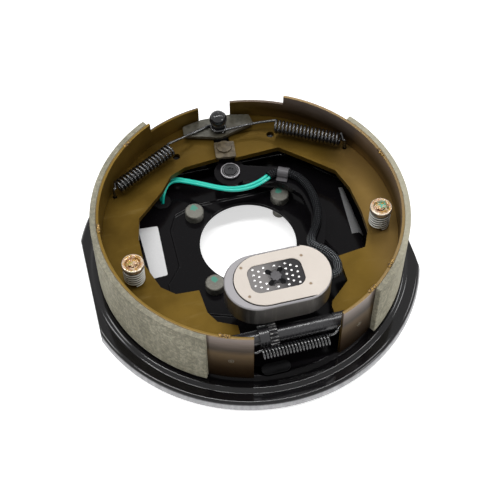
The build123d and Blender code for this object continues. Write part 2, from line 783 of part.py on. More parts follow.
nodes = {
    "backing_plate": backing_plate(),
    "mounting_studs": mounting_studs(),
    "anchor_post": anchor_post(),
    "anchor_plate": anchor_plate(),
    "primary_web": primary_web(),
    "primary_table": primary_table(),
    "primary_lining": lining(primary_lining_start_angle, primary_lining_end_angle, primary_centre),
    "secondary_web": secondary_web(),
    "secondary_table": secondary_table(),
    "secondary_lining": lining(secondary_lining_start_angle, secondary_lining_end_angle, secondary_centre),
    "lever_pivot_pin": lever_pivot_pin(),
    "lever_retaining_ring": lever_retaining_ring(),
    "lever_arm": lever_arm(),
    "lever_bushing": lever_bushing(),
    "lever_link": lever_link(),
    "lever_pin": lever_pin(),
    "wire_strap": wire_strap(),
    "magnet_post": magnet_post(),
    "magnet_spring": magnet_spring(),
    "magnet_housing": magnet_housing(),
    "magnet_coil": magnet_coil(),
    "magnet_face": magnet_face(),
    "magnet_insert": magnet_insert(),
    "magnet_clip": magnet_clip(),
    "adjuster_socket": adjuster_socket(),
    "star_screw": star_screw(),
    "adjuster_nut": adjuster_nut(),
    "adjuster_spring": adjuster_spring(),
    "primary_return_spring": return_spring(primary_coil_ends, primary_coil_turns, primary_hook_z, primary_bend),
    "secondary_return_spring": return_spring(secondary_coil_ends, secondary_coil_turns, secondary_hook_z, secondary_bend),
    "primary_hold_down_pin": hold_down_pin(primary_hold_down),
    "primary_hold_down_spring": hold_down_spring(primary_hold_down),
    "primary_hold_down_cup": hold_down_cup(primary_hold_down),
    "secondary_hold_down_pin": hold_down_pin(secondary_hold_down),
    "secondary_hold_down_spring": hold_down_spring(secondary_hold_down),
    "secondary_hold_down_cup": hold_down_cup(secondary_hold_down),
    "lead_wires": lead_wires(),
    "lead_sleeve": tube(sleeve_route, sleeve_radius),
    "wire_grommet": wire_grommet(),
    "adjuster_slot_plug": adjuster_slot_plug(),
}

for name, solid in nodes.items():
    export_step(solid, f"parts/{name}.step")

for name, route in (("lead_wires", lead_route), ("lead_sleeve", sleeve_route)):
    print(name, "bend radii in mm:", [round(radius, 1) for radius in bend_radii(route)])
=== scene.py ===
import json
from math import acos, atan2, cos, hypot, pi, radians, sin

import bpy
from mathutils import Matrix, Vector


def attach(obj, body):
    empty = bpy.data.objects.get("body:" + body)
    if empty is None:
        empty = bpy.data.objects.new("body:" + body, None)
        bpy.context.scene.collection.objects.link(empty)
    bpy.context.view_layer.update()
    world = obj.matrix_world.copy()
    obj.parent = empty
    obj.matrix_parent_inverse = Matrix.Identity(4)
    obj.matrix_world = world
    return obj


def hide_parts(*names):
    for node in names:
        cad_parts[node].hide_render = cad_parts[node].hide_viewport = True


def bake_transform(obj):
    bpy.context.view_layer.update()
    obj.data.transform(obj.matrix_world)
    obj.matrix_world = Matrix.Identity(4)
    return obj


# The dressed electric trailer brake: plate, two shoes, magnet on its lever, springs, adjuster and leads.
# Lengths are in millimetres where a call takes mm, and in metres on Blender's own sockets.
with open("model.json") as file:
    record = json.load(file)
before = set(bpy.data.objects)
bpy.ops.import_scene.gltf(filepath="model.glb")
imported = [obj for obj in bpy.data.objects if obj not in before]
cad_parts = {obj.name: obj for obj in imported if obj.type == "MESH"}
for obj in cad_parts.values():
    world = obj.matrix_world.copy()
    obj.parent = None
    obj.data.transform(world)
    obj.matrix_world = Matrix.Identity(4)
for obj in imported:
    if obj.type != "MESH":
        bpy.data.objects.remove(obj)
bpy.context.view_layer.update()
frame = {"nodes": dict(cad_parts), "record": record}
record = frame["record"]
body_of_node = {node: body for body, nodes in record["behaviour"]["bodies"].items() for node in nodes}
slot_of_node = {part["node"]: part["material_slot"] for part in record["subparts"]}


def mm(x, y, z):
    """A point given in millimetres."""
    return Vector((x, y, z)) / 1000


def linked(name, data):
    """A new object that holds this data, in the scene."""
    made = bpy.data.objects.new(name, data)
    bpy.context.collection.objects.link(made)
    return made


# Places that several pieces share, in millimetres
ANCHOR_Y = 102.5
PIVOT = (0.3, 62.2)
HOLD_DOWNS = {"primary": (101.5, -22.5), "secondary": (-97.8, -26.5)}
GREEN_DOT = (103.2, -20.6)
SHOE_CENTRES = {"primary_shoe": (1.5, 0.5), "secondary_shoe": (1.0, 0.0)}
STUDS_CENTRE = (0.0, 4.3)
STUDS_OFFSET = (36.2, 36.5)
STAR = (-7.6, -100.0, 41.425)
MAGNET = (4.0, -71.0)
PIN_MARKS_CENTRE = (2.5, -70.1)
PIN_MARKS_OFFSET = (23.4, 13.1)
FACE_Z = 73.5
WEB_TOP = 39.025

# Camera at the photograph's angle
AIM = mm(0, 0, 30)
AZIMUTH = radians(-14.54)
ELEVATION = radians(54.2)
DISTANCE = 0.91836
back = Vector((sin(AZIMUTH) * cos(ELEVATION), -cos(AZIMUTH) * cos(ELEVATION), sin(ELEVATION)))
camera_data = bpy.data.cameras.new("photo_camera")
camera_data.lens = 81.8
camera_data.sensor_width = 36.0
camera_data.shift_x = 0.0025
camera_data.shift_y = -0.0265
camera_data.clip_start = 0.05
camera = linked("photo_camera", camera_data)
camera.location = AIM + back * DISTANCE
camera.rotation_euler = back.to_track_quat("Z", "Y").to_euler()
bpy.context.scene.camera = camera
bpy.context.scene.view_settings.view_transform = "Standard"


# Shader nodes written as Python values
class Value:
    """A number in a shader's nodes. Sums written with it add Math nodes."""

    def __init__(self, shader, socket):
        self.shader = shader
        self.socket = socket

    def __add__(self, other):
        return self.shader.math("ADD", self, other)

    def __sub__(self, other):
        return self.shader.math("SUBTRACT", self, other)

    def __mul__(self, other):
        return self.shader.math("MULTIPLY", self, other)

    def __rsub__(self, other):
        return self.shader.math("SUBTRACT", other, self)

    __radd__ = __add__
    __rmul__ = __mul__

    def size(self):
        return self.shader.math("ABSOLUTE", self)

    def beside(self, millimetres):
        """The value less a length given in millimetres."""
        return self - millimetres / 1000

    def across(self, other):
        """The long side over two sides at right angles."""
        return self.shader.math("SQRT", self * self + other * other)

    def wave(self):
        return self.shader.math("SINE", self)

    def rise(self, low, high):
        """0 below one level, 1 above the other, with a smooth step between."""
        node = self.shader.node(
            "ShaderNodeMapRange", {"interpolation_type": "SMOOTHSTEP"},
            {"Value": self, "From Min": low, "From Max": high},
        )
        return Value(self.shader, node.outputs["Result"])

    def fall(self, low, high):
        return 1 - self.rise(low, high)


class Nodes:
    """A shader's nodes and their links."""

    def __init__(self, tree):
        self.tree = tree

    def node(self, kind, settings=None, sockets=None):
        """Adds a node: its settings first, then the values or links of its sockets."""
        node = self.tree.nodes.new(kind)
        for name, value in (settings or {}).items():
            setattr(node, name, value)
        for name, value in (sockets or {}).items():
            self.feed(node.inputs[name], value)
        return node

    def feed(self, socket, value):
        value = value.socket if isinstance(value, Value) else value
        if isinstance(value, bpy.types.NodeSocket):
            self.tree.links.new(value, socket)
        elif isinstance(value, tuple) and len(value) == 3 and socket.type == "RGBA":
            socket.default_value = (*value, 1)
        else:
            socket.default_value = value

    def math(self, operation, *values):
        node = self.node("ShaderNodeMath", {"operation": operation}, dict(enumerate(values)))
        return Value(self, node.outputs[0])

    def direct(self):
        """1 for camera, glossy and transmission rays, 0 for the rays that light the object."""
        rays = self.node("ShaderNodeLightPath").outputs
        seen = self.math("MAXIMUM", rays["Is Camera Ray"], rays["Is Glossy Ray"])
        return self.math("MAXIMUM", seen, rays["Is Transmission Ray"])


class Finish(Nodes):
    """One procedural material, built on the Principled shader."""

    def __init__(self, name):
        self.material = bpy.data.materials.new(name)
        self.material.use_nodes = True
        super().__init__(self.material.node_tree)
        self.principled = self.tree.nodes["Principled BSDF"]
        self.place = self.node("ShaderNodeTexCoord").outputs["Object"]
        split = self.node("ShaderNodeSeparateXYZ", None, {0: self.place})
        self.x, self.y, self.z = (Value(self, output) for output in split.outputs)

    def noise(self, scale, detail, rough=0.5, stretch=None):
        """Noise over the object, for streaks and grain with each axis scaled first."""
        place = self.place
        if stretch:
            scaled = self.node("ShaderNodeVectorMath", {"operation": "MULTIPLY"}, {0: place, 1: stretch})
            place = scaled.outputs[0]
        sockets = {"Vector": place, "Scale": scale, "Detail": detail, "Roughness": rough}
        return Value(self, self.node("ShaderNodeTexNoise", None, sockets).outputs[0])

    def cells(self, scale):
        sockets = {"Vector": self.place, "Scale": scale}
        return Value(self, self.node("ShaderNodeTexVoronoi", None, sockets).outputs[0])

    def mix(self, factor, first, second):
        """Mixes two colours."""
        node = self.node("ShaderNodeMix", {"data_type": "RGBA"}, {0: factor, 6: first, 7: second})
        return node.outputs[2]

    def ramp(self, factor, stops):
        """A colour for each value, from a list of places and colours."""
        node = self.node("ShaderNodeValToRGB", None, {0: factor})
        elements = node.color_ramp.elements
        elements[0].position, elements[0].color = stops[0][0], (*stops[0][1], 1)
        elements[1].position, elements[1].color = stops[-1][0], (*stops[-1][1], 1)
        for place, colour in stops[1:-1]:
            elements.new(place).color = (*colour, 1)
        return node.outputs["Color"]

    def layered(self, base, *layers):
        """Lays colours over a base, each through its own mask."""
        for mask, colour in layers:
            base = self.mix(mask, base, colour)
        return base

    def distance(self, x=0, y=0):
        """Level distance in metres from a point given in millimetres."""
        return self.x.beside(x).across(self.y.beside(y))

    def from_hold_down(self):
        """Level distance from the nearer hold-down."""
        return self.math("MINIMUM", *(self.distance(*place) for place in HOLD_DOWNS.values()))

    def from_four(self, centre, offset):
        """Level distance from the nearest of four places round a centre, given in millimetres."""
        dx, dy = self.x.beside(centre[0]).size(), self.y.beside(centre[1]).size()
        return dx.beside(offset[0]).across(dy.beside(offset[1]))

    def bumps(self, height, distance, strength):
        sockets = {"Height": height, "Distance": distance, "Strength": strength}
        bump = self.node("ShaderNodeBump", None, sockets)
        self.feed(self.principled.inputs["Normal"], bump.outputs["Normal"])

    def set(self, **sockets):
        for name, value in sockets.items():
            self.feed(self.principled.inputs[name.replace("_", " ")], value)


finishes = {}


def finish(name):
    """Adds a material of this name, set up by the function below it and kept by the function's name."""
    def keep(set_up):
        finishes[set_up.__name__] = Finish(name)
        set_up(finishes[set_up.__name__])
        return set_up
    return keep


def grained(name, grain, dark, light, roughness, relief, others):
    """A plain finish: one noise in its colour, in its roughness and, where it has relief, in its bumps."""
    made = Finish(name)
    noise = made.noise(*grain)
    made.set(Base_Color=made.mix(noise, dark, light), **others)
    made.set(Roughness=roughness[0] + noise * roughness[1])
    if relief:
        made.bumps(noise, *relief)
    return made


@finish("gloss_black_paint")
def black_paint(made):
    """Gloss black paint. The plate's outer wall is painted a pale metallic steel grey, a painted reflection
    of the white floor.
    """
    wall = made.distance().rise(0.1392, 0.1402) * made.z.fall(0.0058, 0.0074)
    streak = made.noise(260, 4, 0.6, (1, 1, 0.15))
    dust = made.noise(900, 2).rise(0.62, 0.8)
    cloud = made.noise(22, 3)
    paint = made.mix(cloud, (0.003, 0.003, 0.0035), (0.006, 0.005, 0.006))
    paint = made.mix(dust * 0.35, paint, (0.03, 0.03, 0.03))
    # Painted reflection: the pale steel grey on the outer wall stands in for the floor's reflection.
    steel = made.mix(streak, (0.30, 0.30, 0.31), (0.46, 0.46, 0.47))
    bright_band = wall * (0.55 + streak * 0.6)
    made.set(Base_Color=made.mix(bright_band, paint, steel), Metallic=wall * 0.55)
    made.set(Roughness=0.07 + cloud * 0.08 + wall * 0.28, Specular_IOR_Level=0.09, Coat_Roughness=0.07)
    made.set(Coat_Weight=made.distance().rise(0.121, 0.126) * 0.45)
    made.bumps(made.noise(330, 2) * 0.6 + made.noise(60, 2), 0.00012, 0.5)


@finish("dull_zinc_plate")
def dull_zinc(made):
    """Dull zinc plate with a dot of green paint on each stud's head and a thread below the plate."""
    grain = made.noise(700, 4, 0.65)
    patch = made.noise(90, 3)
    base = made.mix(patch, (0.095, 0.092, 0.078), (0.19, 0.185, 0.16))
    base = made.mix(grain.rise(0.5, 0.75) * 0.5, base, (0.30, 0.29, 0.26))
    spread = made.from_four(STUDS_CENTRE, STUDS_OFFSET) + (made.noise(420, 2) - 0.5) * 0.0042
    dot = spread.fall(0.0022, 0.0034) * made.z.rise(0.0282, 0.0286)
    thread = (made.z * (2 * pi / 0.00125) + made.noise(40, 1) * 0.4).wave() * made.z.fall(0.0168, 0.0174)
    made.set(Base_Color=made.mix(dot * 0.85, base, (0.035, 0.25, 0.18)), Metallic=0.55 - dot * 0.5)
    made.set(Roughness=0.42 + grain * 0.2 - dot * 0.12)
    made.bumps(thread + grain * 0.08 + dot * 0.1, 0.0004, 0.7)


@finish("oiled_black_steel")
def black_steel(made):
    """Oiled black steel."""
    cloud = made.noise(70, 4, 0.6)
    scratch = made.noise(500, 3, 0.6, (0.2, 1, 1))
    base = made.mix(cloud, (0.006, 0.006, 0.007), (0.020, 0.019, 0.021))
    made.set(Base_Color=base, Roughness=0.18 + cloud * 0.14 + scratch * 0.08, Specular_IOR_Level=0.3)
    made.bumps(scratch * 0.5 + cloud, 0.00012, 0.5)


@finish("blackened_adjuster_steel")
def adjuster_steel(made):
    """The adjuster's blackened steel, with a soft sheen and a rubbed star wheel."""
    reach = made.y.beside(STAR[1]).across(made.z.beside(STAR[2]))
    wheel = made.x.beside(STAR[0]).size().fall(0.0031, 0.0034)
    rubbed = made.noise(330, 3, 0.6).rise(0.42, 0.62)
    teeth = reach.rise(0.0088, 0.0094) * wheel * rubbed
    cloud = made.noise(90, 4, 0.6)
    scratch = made.noise(420, 3, 0.6, (0.15, 1, 1))
    base = made.mix(cloud, (0.008, 0.008, 0.009), (0.026, 0.025, 0.028))
    base = made.mix(scratch.rise(0.58, 0.78) * 0.4, base, (0.10, 0.097, 0.102))
    made.set(Base_Color=made.mix(teeth * 0.8, base, (0.34, 0.33, 0.32)), Metallic=teeth * 0.4)
    made.set(Roughness=0.20 + cloud * 0.12, Specular_IOR_Level=0.55)
    made.bumps(scratch * 0.5 + cloud, 0.00012, 0.5)


@finish("dull_galvanised_steel")
def galvanised_steel(made):
    patch = made.cells(330)
    grain = made.noise(800, 3, 0.6)
    stain = made.noise(45, 4, 0.6)
    base = made.mix(patch, (0.038, 0.037, 0.028), (0.092, 0.088, 0.070))
    base = made.mix(stain.rise(0.42, 0.70) * 0.6, base, (0.040, 0.032, 0.016))
    made.set(Base_Color=base, Metallic=0.35, Roughness=0.24 + grain * 0.20)
    made.bumps(grain + patch * 0.3, 0.00008, 0.6)


@finish("bronzed_link_chromate")
def bronzed_link(made):
    """The small plate round the lever's pin: brown-gold, with patches of bare zinc."""
    cloud = made.noise(260, 4, 0.6)
    grain = made.noise(800, 3, 0.6)
    base = made.mix(cloud.rise(0.35, 0.65), (0.046, 0.033, 0.017), (0.108, 0.085, 0.050))
    base = made.mix(grain.rise(0.6, 0.8) * 0.5, base, (0.04, 0.024, 0.010))
    made.set(Base_Color=base, Metallic=0.3, Roughness=0.24 + cloud * 0.16)
    made.bumps(grain, 0.00006, 0.6)


@finish("browned_weld_metal")
def weld_metal(made):
    """Rippled weld metal, brown, with painted gold highlights on the ripples' crests."""
    ripple = made.noise(700, 3, 0.6)
    # Painted highlight: gold where the ripples crest.
    base = made.mix(ripple.rise(0.42, 0.62), (0.055, 0.028, 0.005), (0.34, 0.20, 0.04))
    made.set(Base_Color=base, Metallic=0.4, Roughness=0.26 + ripple * 0.12)
    made.bumps(ripple, 0.0002, 0.6)


@finish("black_ring_bright_edges")
def edge_banded_ring(made):
    """The pivot's ring: black, with bright bands along its outer and inner edges."""
    reach = made.distance(*PIVOT)
    outer = reach.rise(0.0070, 0.0074)
    inner = reach.fall(0.0059, 0.0062)
    grain = made.noise(600, 3, 0.6)
    bright_band = (outer + inner * 0.6) * (0.6 + grain * 0.5)
    made.set(Base_Color=made.mix(bright_band, (0.010, 0.010, 0.011), (0.42, 0.40, 0.42)))
    made.set(Metallic=0.2, Roughness=0.3 + grain * 0.1)
    made.bumps(grain, 0.00006, 0.5)


@finish("black_spring_steel")
def spring_steel(made):
    cloud = made.noise(160, 3)
    wear = made.noise(420, 3, 0.6).rise(0.6, 0.78)
    made.set(Base_Color=made.mix(wear * 0.4, (0.006, 0.006, 0.007), (0.07, 0.067, 0.065)))
    made.set(Roughness=0.09 + cloud * 0.07, Specular_IOR_Level=0.85)
    made.bumps(cloud, 0.00005, 0.3)


@finish("bright_zinc_plate")
def bright_zinc(made):
    """The hold-down springs' pale zinc, with painted shade on the inner side of each coil."""
    cloud = made.noise(260, 3)
    # Painted shade: near black on the inner side of the coil, pale only on the wire's outer side.
    outside = made.from_hold_down().rise(0.0077, 0.0081)
    metal = made.mix(cloud, (0.58, 0.58, 0.53), (0.80, 0.80, 0.74))
    made.set(Base_Color=made.mix(outside, (0.012, 0.012, 0.011), metal), Metallic=0.35)
    made.set(Roughness=0.28 + cloud * 0.12)
    made.bumps(made.noise(900, 2), 0.00004, 0.4)


@finish("iridescent_yellow_zinc")
def yellow_zinc(made):
    """Iridescent yellow zinc with patches of gold, rose and pale green."""
    swirl = made.noise(210, 3, 0.55)
    patch = made.noise(120, 2)
    base = made.ramp(swirl, [
        (0.28, (0.30, 0.24, 0.15)), (0.40, (0.46, 0.24, 0.05)), (0.48, (0.62, 0.50, 0.36)),
        (0.55, (0.42, 0.19, 0.11)), (0.63, (0.40, 0.31, 0.07)), (0.74, (0.20, 0.28, 0.21)),
    ])
    smear = made.distance(*GREEN_DOT).fall(0.0022, 0.0048) * made.noise(520, 3, 0.6).rise(0.44, 0.54)
    base = made.layered(
        base,
        (patch.rise(0.50, 0.68) * 0.5, (0.70, 0.64, 0.56)),
        # Painted highlight: a pale band round the outer rim of each hold-down cup.
        (made.from_hold_down().rise(0.0074, 0.0081) * 0.6, (0.60, 0.56, 0.49)),
        (smear, (0.03, 0.40, 0.30)),
    )
    made.set(Base_Color=base, Metallic=0.75 - smear * 0.6, Roughness=0.2 + patch * 0.14)
    made.bumps(swirl, 0.00005, 0.5)


@finish("olive_gold_chromate")
def gold_chromate(made):
    """Olive-gold chromate on the webs, with painted shade near the tables and towards the top, and painted
    light towards the right.
    """
    cloud = made.noise(16, 4, 0.55)
    grain = made.noise(420, 4, 0.6)
    streak = made.noise(120, 3, 0.6, (0.25, 1, 1))
    base = made.layered(
        made.mix(cloud.rise(0.3, 0.7), (0.078, 0.0455, 0.006), (0.148, 0.090, 0.015)),
        # Painted shade near the tables' inner walls.
        (made.distance().rise(0.094, 0.117) * 0.25, (0.030, 0.017, 0.002)),
        (streak.rise(0.55, 0.8) * 0.35, (0.20, 0.14, 0.045)),
        (grain.rise(0.62, 0.8) * 0.3, (0.06, 0.034, 0.002)),
        # Painted shade towards the top of the webs and painted light towards their right side.
        (made.y.rise(0.045, 0.088) * 0.5, (0.040, 0.023, 0.004)),
        (made.x.rise(0.075, 0.105) * 0.45, (0.26, 0.165, 0.06)),
    )
    made.set(Base_Color=base, Metallic=0.6, Specular_IOR_Level=0.08)
    made.set(Roughness=0.24 + cloud * 0.16 + grain * 0.06)
    made.bumps(grain * 0.6 + streak * 0.4, 0.00008, 0.5)


@finish("bronzed_table_chromate")
def gold_table(made):
    """The rolled tables. Colour bands by height on the outer face paint in a reflection: lilac grey near
    the upper edge is painted reflection, over the chromate's dark bronze across the middle and brown below.
    """
    streak = made.noise(70, 4, 0.6, (1, 1, 5))
    level = made.z + (streak - 0.5) * 0.006
    outside = made.distance().rise(0.1186, 0.1192)
    # Painted reflection: colour bands by height on the outer face, lilac grey near the upper edge.
    reflection_band = made.ramp(level * 12.5, [
        (0.16, (0.012, 0.006, 0.002)), (0.36, (0.030, 0.015, 0.004)), (0.50, (0.060, 0.034, 0.010)),
        (0.58, (0.085, 0.050, 0.016)), (0.66, (0.026, 0.014, 0.005)), (0.74, (0.085, 0.062, 0.046)),
        (0.86, (0.21, 0.17, 0.15)),
    ])
    cloud = made.noise(16, 4, 0.55)
    inner = made.mix(cloud.rise(0.3, 0.7), (0.062, 0.037, 0.006), (0.135, 0.083, 0.016))
    lip = made.z.rise(0.0693, 0.0697)
    shell = made.mix(lip * (0.35 + cloud * 0.6), made.mix(outside, inner, reflection_band), (0.24, 0.15, 0.03))
    made.set(Base_Color=shell, Metallic=0.5, Roughness=0.26 + streak * 0.14, Specular_IOR_Level=0.15)
    made.bumps(streak + made.noise(420, 3) * 0.3, 0.00008, 0.5)


@finish("grey_brake_lining")
def brake_lining(made):
    """Greenish-grey moulded lining with fine pale and dark flecks, and painted light towards its right
    side.
    """
    cloud = made.noise(24, 4, 0.6)
    fleck = made.noise(1300, 2)
    brushed = made.noise(160, 3, 0.6, (1, 1, 0.12))
    chip = made.noise(2100, 3, 0.7)
    mottle = made.noise(330, 4, 0.7)
    base = made.layered(
        made.mix(cloud.rise(0.3, 0.7), (0.290, 0.272, 0.198), (0.420, 0.394, 0.295)),
        (mottle.fall(0.42, 0.62) * 0.5, (0.09, 0.086, 0.066)),
        (brushed.rise(0.5, 0.8) * 0.45, (0.44, 0.415, 0.325)),
        (fleck.rise(0.55, 0.70) * 0.6, (0.085, 0.082, 0.066)),
        (chip.rise(0.60, 0.70) * 0.55, (0.46, 0.44, 0.37)),
        (made.z.rise(0.0686, 0.0694) * 0.3, (0.20, 0.19, 0.15)),
        # Painted light: lighter towards the right side.
        (made.x.rise(0.085, 0.115) * 0.45, (0.50, 0.47, 0.36)),
    )
    made.set(Base_Color=base, Roughness=0.85, Specular_IOR_Level=0.25)
    made.bumps(fleck * 0.8 + brushed + chip * 0.6, 0.0003, 0.7)


@finish("cream_friction_face")
def friction_pad(made):
    """The magnet's cream face with four brown pin marks."""
    spread = made.from_four(PIN_MARKS_CENTRE, PIN_MARKS_OFFSET) + (made.noise(600, 2) - 0.5) * 0.0007
    mark = spread.fall(0.0006, 0.0017) * made.z.rise(0.0732, 0.0734)
    cloud = made.noise(30, 4, 0.6)
    fleck = made.noise(1500, 2)
    base = made.mix(cloud, (0.57, 0.515, 0.46), (0.68, 0.62, 0.56))
    base = made.mix(fleck.rise(0.62, 0.8) * 0.25, base, (0.60, 0.52, 0.42))
    made.set(Base_Color=made.mix(mark * 0.85, base, (0.20, 0.125, 0.055)))
    made.set(Roughness=0.62, Specular_IOR_Level=0.2)
    made.bumps(fleck * 0.2 - mark, 0.0003, 0.6)


@finish("drawn_magnet_steel")
def magnet_steel(made):
    """The magnet's drawn housing, with fine upright drawing marks and a painted highlight on its rim."""
    upright = made.noise(520, 4, 0.6, (1, 1, 0.05))
    cloud = made.noise(26, 3, 0.5, (1, 1, 0.3))
    base = made.mix(cloud.rise(0.3, 0.7), (0.050, 0.048, 0.046), (0.105, 0.097, 0.087))
    base = made.mix(upright.rise(0.5, 0.75) * 0.5, base, (0.18, 0.165, 0.15))
    # Painted highlight: the rim at the top of the housing is lighter grey.
    rim = made.z.rise(0.0716, 0.0726)
    made.set(Base_Color=made.mix(rim, base, (0.31, 0.30, 0.31)))
    made.set(Metallic=0.6 - rim * 0.3, Roughness=0.30 + upright * 0.16)
    made.bumps(upright, 0.00006, 0.6)


@finish("ground_core_iron")
def core_iron(made):
    # Painted reflection: the insert is lighter grey on its left and near black on its right.
    reflection_slope = made.x.rise(-0.009, 0.015)
    grain = made.noise(1200, 3, 0.6)
    base = made.mix(reflection_slope, (0.200, 0.190, 0.186), (0.022, 0.021, 0.023))
    made.set(Base_Color=made.mix(grain * 0.15, base, (0.16, 0.155, 0.15)))
    made.set(Metallic=0.1, Roughness=0.5 + grain * 0.1, Specular_IOR_Level=0.12)
    made.bumps(grain, 0.00006, 0.5)


@finish("enamelled_copper_winding")
def copper_winding(made):
    turns = (made.z * (2 * pi / 0.0005)).wave()
    made.set(Base_Color=made.mix(turns.rise(-1, 1), (0.22, 0.07, 0.02), (0.48, 0.20, 0.07)))
    made.set(Metallic=0.8, Roughness=0.32)
    made.bumps(turns, 0.0001, 0.6)


@finish("teal_lead_insulation")
def lead_insulation(made):
    """Glossy teal insulation on the two leads."""
    cloud = made.noise(60, 3)
    scuff = made.noise(900, 3, 0.6).rise(0.6, 0.8)
    base = made.mix(cloud, (0.006, 0.46, 0.36), (0.016, 0.60, 0.47))
    made.set(Base_Color=made.mix(scuff * 0.2, base, (0.12, 0.64, 0.52)), Roughness=0.2 + cloud * 0.1)
    made.bumps(cloud, 0.0001, 0.4)


@finish("dark_braided_sleeve")
def braided_sleeve(made):
    """Dark braided sleeving: a diamond weave that follows the sleeve's own map."""
    mapped = made.node("ShaderNodeUVMap", {"uv_map": "Braid"}).outputs["UV"]
    split = made.node("ShaderNodeSeparateXYZ", None, {0: mapped})
    along, around = Value(made, split.outputs[0]), Value(made, split.outputs[1])
    right = ((along + around) * (2 * pi)).wave()
    left = ((along - around) * (2 * pi)).wave()
    strand = (right * left).rise(-0.2, 0.9)
    # Painted highlight: pale flecks on the weave, strong only near the magnet and faint elsewhere.
    glint_near_magnet = 0.10 + made.y.fall(-0.034, -0.016) * 0.90
    fleck = (right * left).rise(0.40, 0.90) * (0.45 + made.noise(520, 2) * 0.9) * glint_near_magnet
    base = made.mix(strand, (0.002, 0.002, 0.003), (0.009, 0.010, 0.011))
    made.set(Base_Color=made.mix(fleck, base, (0.46, 0.49, 0.51)), Roughness=0.36, Specular_IOR_Level=0.06)
    made.bumps(strand, 0.0005, 0.8)


@finish("matt_black_rubber")
def black_rubber(made):
    cloud = made.noise(120, 3)
    made.set(Base_Color=made.mix(cloud, (0.007, 0.007, 0.007), (0.014, 0.014, 0.015)))
    made.set(Roughness=0.5 + cloud * 0.15, Specular_IOR_Level=0.04)
    made.bumps(made.noise(700, 3), 0.0001, 0.5)


# Plain finishes: material, noise, dark and light colour, roughness and its spread, bumps, other sockets
PLAIN = {
    "bronze": ("bearing_bronze", (500, 3), (0.25, 0.15, 0.06), (0.38, 0.25, 0.11), (0.35, 0.15),
               (0.00005, 0.5), {"Metallic": 0.85}),
    # Painted highlight: the insert's dots are pale grey to stand in for their glints.
    "glint_dot_tops": ("painted_glint_dot_tops", (900, 2), (0.62, 0.61, 0.60), (0.80, 0.79, 0.78), (0.22, 0.1),
                 None, {"Metallic": 0.55}),
    "polished_steel": ("polished_black_steel", (120, 3), (0.005, 0.005, 0.006), (0.012, 0.012, 0.013),
                       (0.05, 0.04), (0.00003, 0.3), {"Specular IOR Level": 0.42}),
    "button_steel": ("dark_grey_button", (900, 3, 0.6), (0.045, 0.043, 0.047), (0.085, 0.080, 0.086),
                     (0.4, 0.1), (0.00006, 0.5), {}),
    "white_label": ("bare_white_label", (700, 4, 0.6), (0.72, 0.72, 0.73), (0.82, 0.82, 0.82),
                    (0.45, 0.1), (0.00004, 0.4), {"Specular IOR Level": 0.2}),
    # Painted shade: the folded label is the same bare label as the white one, painted dark grey.
    "shaded_label": ("bare_label_painted_shade", (500, 4, 0.6), (0.15, 0.15, 0.155), (0.24, 0.24, 0.24),
                     (0.45, 0.1), (0.00004, 0.4), {"Specular IOR Level": 0.2}),
}
for look, settings in PLAIN.items():
    finishes[look] = grained(*settings)


# Mesh helpers
def choose(*pieces):
    """Makes these the only selected objects and the first of them the active one."""
    bpy.ops.object.select_all(action="DESELECT")
    for piece in pieces:
        piece.select_set(True)
    bpy.context.view_layer.objects.active = pieces[0]


def edit(piece):
    choose(piece)
    bpy.ops.object.mode_set(mode="EDIT")
    bpy.ops.mesh.select_all(action="SELECT")


def done():
    bpy.ops.object.mode_set(mode="OBJECT")


def named(name):
    piece = bpy.context.active_object
    piece.name = name
    piece.data.name = name
    return piece


def modify(piece, kind, **settings):
    """Adds a modifier with these settings and applies it."""
    choose(piece)
    modifier = piece.modifiers.new(kind.title(), kind)
    for name, value in settings.items():
        setattr(modifier, name, value)
    bpy.ops.object.modifier_apply(modifier=modifier.name)
    return piece


def smooth(piece, angle=40):
    choose(piece)
    bpy.ops.object.shade_smooth_by_angle(angle=radians(angle))
    return piece


def settle(piece):
    """Puts an object's place, turn and size into its mesh."""
    choose(piece)
    bpy.ops.object.transform_apply(location=True, rotation=True, scale=True)
    return piece


def join(pieces):
    choose(*pieces)
    bpy.ops.object.join()
    return pieces[0]


def as_mesh(line):
    """Turns a curve into a mesh."""
    choose(line)
    bpy.ops.object.convert(target="MESH")
    return bpy.context.active_object


def face_out(piece, gap):
    """Merges points closer than the gap and turns all faces outward."""
    edit(piece)
    bpy.ops.mesh.remove_doubles(threshold=gap)
    bpy.ops.mesh.normals_make_consistent(inside=False)
    done()
    return piece


def sphere(name, radius, segments, rings, **placed):
    """A sphere with its radius in millimetres."""
    bpy.ops.mesh.primitive_uv_sphere_add(segments=segments, ring_count=rings, radius=radius / 1000,
                                         **placed)
    return named(name)


def duplicate(piece, place):
    """A copy of a piece with its own mesh, at a place in millimetres."""
    copy = linked(piece.name, piece.data.copy())
    copy.location = mm(*place)
    return copy


def dress(piece, look, nodes):
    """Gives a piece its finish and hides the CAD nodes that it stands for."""
    piece.data.materials.clear()
    piece.data.materials.append(finishes[look].material)
    if nodes:
        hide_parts(*nodes)


def finish_piece(piece, look, body, nodes=()):
    """Dresses a piece and lets it ride on one body."""
    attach(piece, body)
    dress(piece, look, nodes)


def finish_stretched(piece, slot, node):
    """Dresses a piece and puts its place into its mesh; it is attached to no body."""
    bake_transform(piece)
    dress(piece, slot, [node])


def softened(node, width, look=None, segments=2, angle=40, clamp=True):
    """A copy of a CAD node with its sharp edges rounded by a width in millimetres."""
    piece = linked(node + "_rounded", frame["nodes"][node].data.copy())
    edit(piece)
    bpy.ops.mesh.remove_doubles(threshold=0.00001)
    bpy.ops.mesh.dissolve_limited(angle_limit=radians(0.8))
    done()
    modify(piece, "BEVEL", width=width / 1000, segments=segments, limit_method="ANGLE",
           angle_limit=radians(38), use_clamp_overlap=clamp, miter_outer="MITER_ARC")
    smooth(piece, angle)
    modify(piece, "WEIGHTED_NORMAL", mode="FACE_AREA", weight=100, keep_sharp=True)
    slot = slot_of_node[node]
    finish_piece(piece, look or slot, body_of_node[node], [node])


